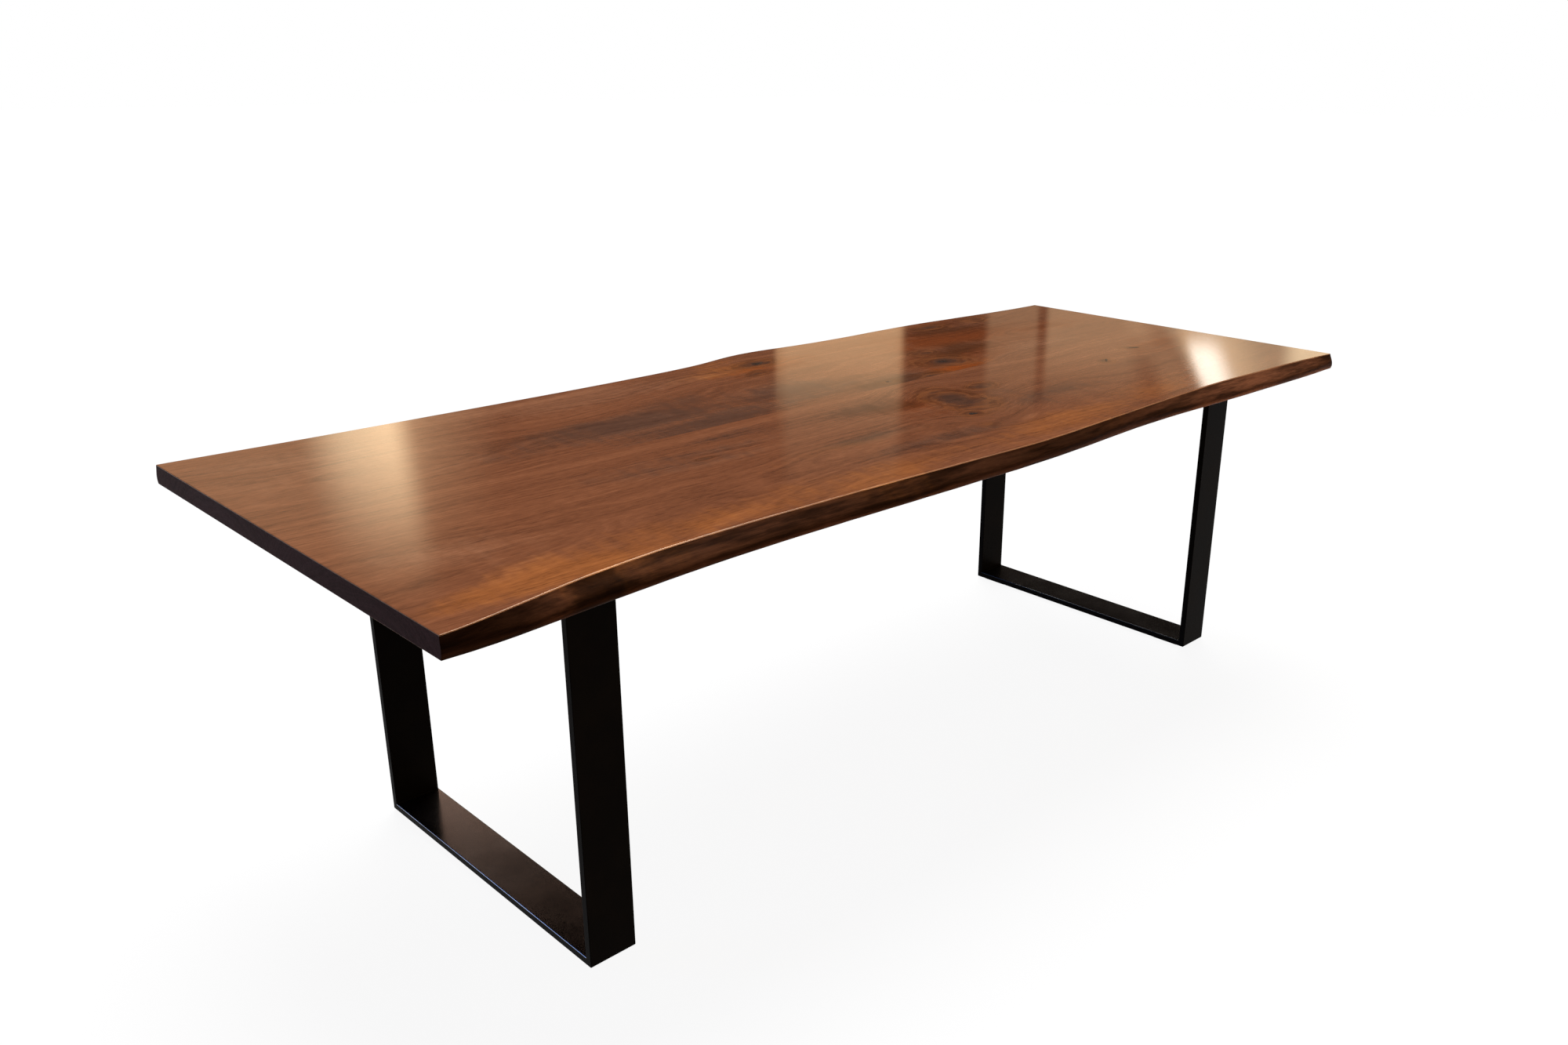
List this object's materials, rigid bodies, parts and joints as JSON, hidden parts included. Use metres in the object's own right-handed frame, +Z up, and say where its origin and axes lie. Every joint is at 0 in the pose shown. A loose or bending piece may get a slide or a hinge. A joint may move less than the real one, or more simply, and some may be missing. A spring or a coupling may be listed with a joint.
{
  "type": "dining table",
  "caption": "Long live-edge walnut dining table: two slabs glued along the middle, on two black flat-bar steel leg frames with mitred, welded corners.",
  "frame": {"origin": "on the floor, below the middle of the top's bounding box", "axes": "+X along the top to its right end, +Y to the rear live edge, +Z up"},
  "size_m": [2.52, 1.0585, 0.76],
  "materials": {
    "walnut": "satin clear coat",
    "beech": "raw",
    "black_epoxy": "satin",
    "black_powder_coat": "satin",
    "black_bolt_steel": "black oxide",
    "zinc_steel": "zinc plated",
    "brass": "plain",
    "black_nylon": "matte"
  },
  "bodies": {
    "root": {"channel_inserts": "brass", "channel_screws": "zinc_steel", "channel_washers": "zinc_steel", "front_slab": "walnut", "knot_fills": "black_epoxy", "left_leg_bolts": "black_bolt_steel", "left_leg_foot_bar": "black_powder_coat", "left_leg_front_post": "black_powder_coat", "left_leg_glides": "black_nylon", "left_leg_inserts": "brass", "left_leg_rear_post": "black_powder_coat", "left_leg_top_plate": "black_powder_coat", "left_leg_washers": "zinc_steel", "left_leg_welds": "black_powder_coat", "left_stiffener_channel": "black_powder_coat", "rear_slab": "walnut", "right_leg_bolts": "black_bolt_steel", "right_leg_foot_bar": "black_powder_coat", "right_leg_front_post": "black_powder_coat", "right_leg_glides": "black_nylon", "right_leg_inserts": "brass", "right_leg_rear_post": "black_powder_coat", "right_leg_top_plate": "black_powder_coat", "right_leg_washers": "zinc_steel", "right_leg_welds": "black_powder_coat", "right_stiffener_channel": "black_powder_coat", "seam_tenons": "beech"}
  },
  "joints": []
}
